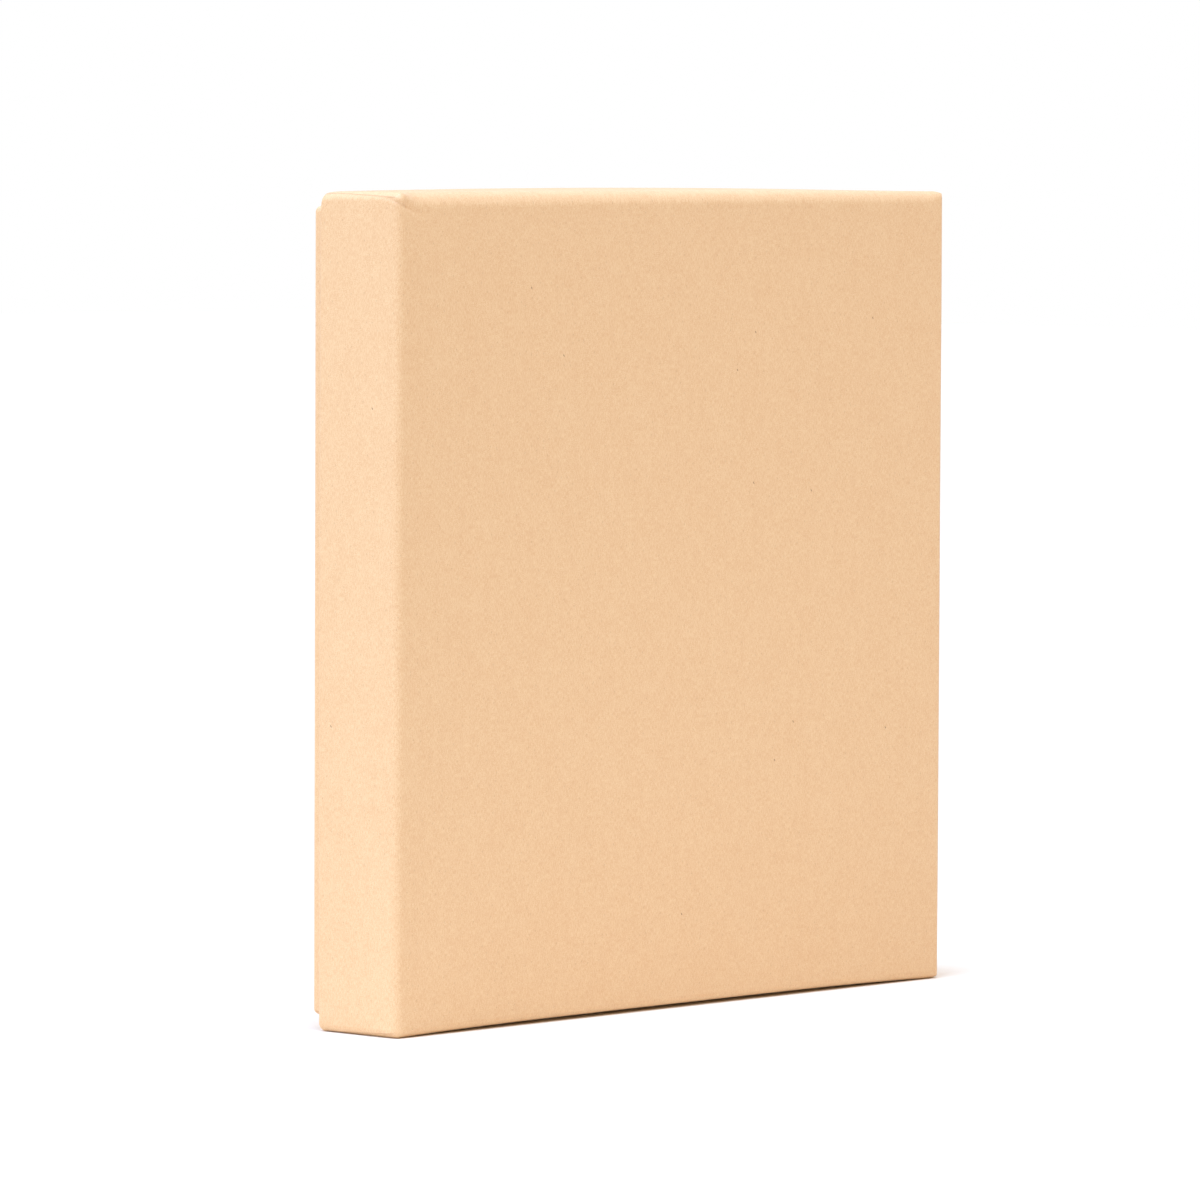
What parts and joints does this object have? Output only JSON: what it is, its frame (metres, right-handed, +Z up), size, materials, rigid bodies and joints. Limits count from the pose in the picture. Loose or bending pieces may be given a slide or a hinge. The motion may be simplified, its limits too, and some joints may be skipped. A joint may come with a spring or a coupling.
{
  "type": "board game box",
  "caption": "Plain square rigid board game box with a shallow lift-off lid telescoped over its base, kraft paper wrapped over folded greyboard.",
  "frame": {"origin": "on the floor under the middle of the closed box as it stands on its bottom edge: middle of the width and of the whole depth", "axes": "+Z up, +Y from the lid panel through the box to the base panel, +X to the right as the lid panel is faced"},
  "size_m": [0.2, 0.0314, 0.2],
  "materials": {
    "kraft_wrap": "uncoated natural kraft, matt, fine fibres",
    "lining_paper": "thin uncoated kraft lining, matt",
    "greyboard": "raw recycled greyboard, matt, speckled",
    "stay_tape": "brown gummed paper tape"
  },
  "bodies": {
    "base": {"base_board": "greyboard", "base_wrap": "kraft_wrap", "base_lining": "lining_paper", "base_corner_stay_bottom_left": "stay_tape", "base_corner_stay_top_left": "stay_tape", "base_corner_stay_bottom_right": "stay_tape", "base_corner_stay_top_right": "stay_tape"},
    "lid": {"lid_board": "greyboard", "lid_wrap": "kraft_wrap", "lid_lining": "lining_paper", "lid_corner_stay_bottom_left": "stay_tape", "lid_corner_stay_top_left": "stay_tape", "lid_corner_stay_bottom_right": "stay_tape", "lid_corner_stay_top_right": "stay_tape"}
  },
  "joints": [
    {"name": "lid_lift", "type": "slide", "parent": "base", "child": "lid", "axis": [0, -1, 0], "range_m": [0, 0.06]}
  ]
}
